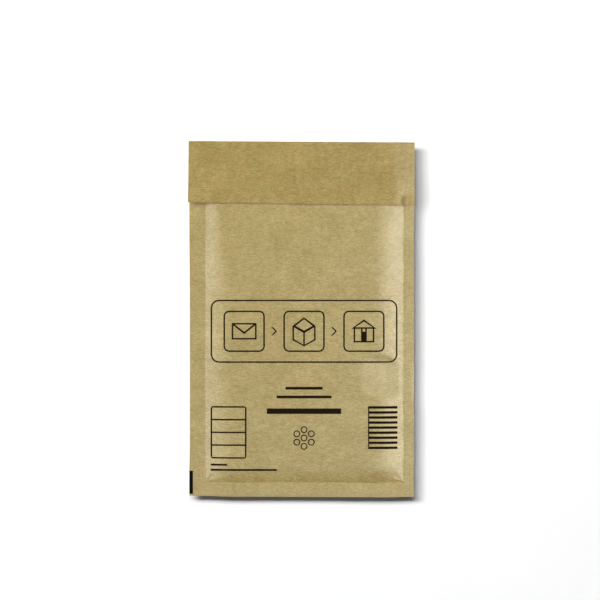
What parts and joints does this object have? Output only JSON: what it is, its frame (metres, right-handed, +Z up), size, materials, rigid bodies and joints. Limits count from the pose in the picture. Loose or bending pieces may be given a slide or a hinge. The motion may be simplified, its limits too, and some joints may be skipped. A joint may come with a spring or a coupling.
{
  "type": "padded envelope",
  "caption": "Flat padded mailing envelope in kraft paper with a bubble film lining, glued margins and a fold-over self-seal flap.",
  "frame": {"origin": "middle of the underside of the envelope, in the middle of its overall outline, on the surface it lies on", "axes": "+X to the right as the printed front is read, +Y to the fold of the flap, +Z up out of the front panel"},
  "size_m": [0.14, 0.2206, 0.006],
  "materials": {
    "kraft_paper": "golden kraft paper with a slight satin sheen and fine fibres",
    "bubble_film": "clear polythene bubble film",
    "adhesive": "clear hot-melt adhesive, tacky",
    "release_paper": "smooth siliconised paper",
    "brown_ink": "flat dark brown print",
    "black_ink": "flat black print"
  },
  "bodies": {
    "root": {"paper_envelope": "kraft_paper", "front_bubble_film": "bubble_film", "back_bubble_film": "bubble_film", "adhesive_strip": "adhesive", "release_liner": "release_paper", "feed_mark": "black_ink", "ink_frame": "brown_ink", "ink_tile_letter": "brown_ink", "ink_tile_parcel": "brown_ink", "ink_tile_house": "brown_ink", "ink_letter": "brown_ink", "ink_parcel": "brown_ink", "ink_house": "brown_ink", "ink_chevron_left": "brown_ink", "ink_chevron_right": "brown_ink", "ink_table": "brown_ink", "ink_bubble_0": "brown_ink", "ink_bubble_1": "brown_ink", "ink_bubble_2": "brown_ink", "ink_bubble_3": "brown_ink", "ink_bubble_4": "brown_ink", "ink_bubble_5": "brown_ink", "ink_bubble_6": "brown_ink", "ink_stripes": "brown_ink", "ink_rule_title": "brown_ink", "ink_rule_second": "brown_ink", "ink_rule_wide": "brown_ink", "ink_rule_short_foot": "brown_ink", "ink_rule_foot": "brown_ink"}
  },
  "joints": []
}
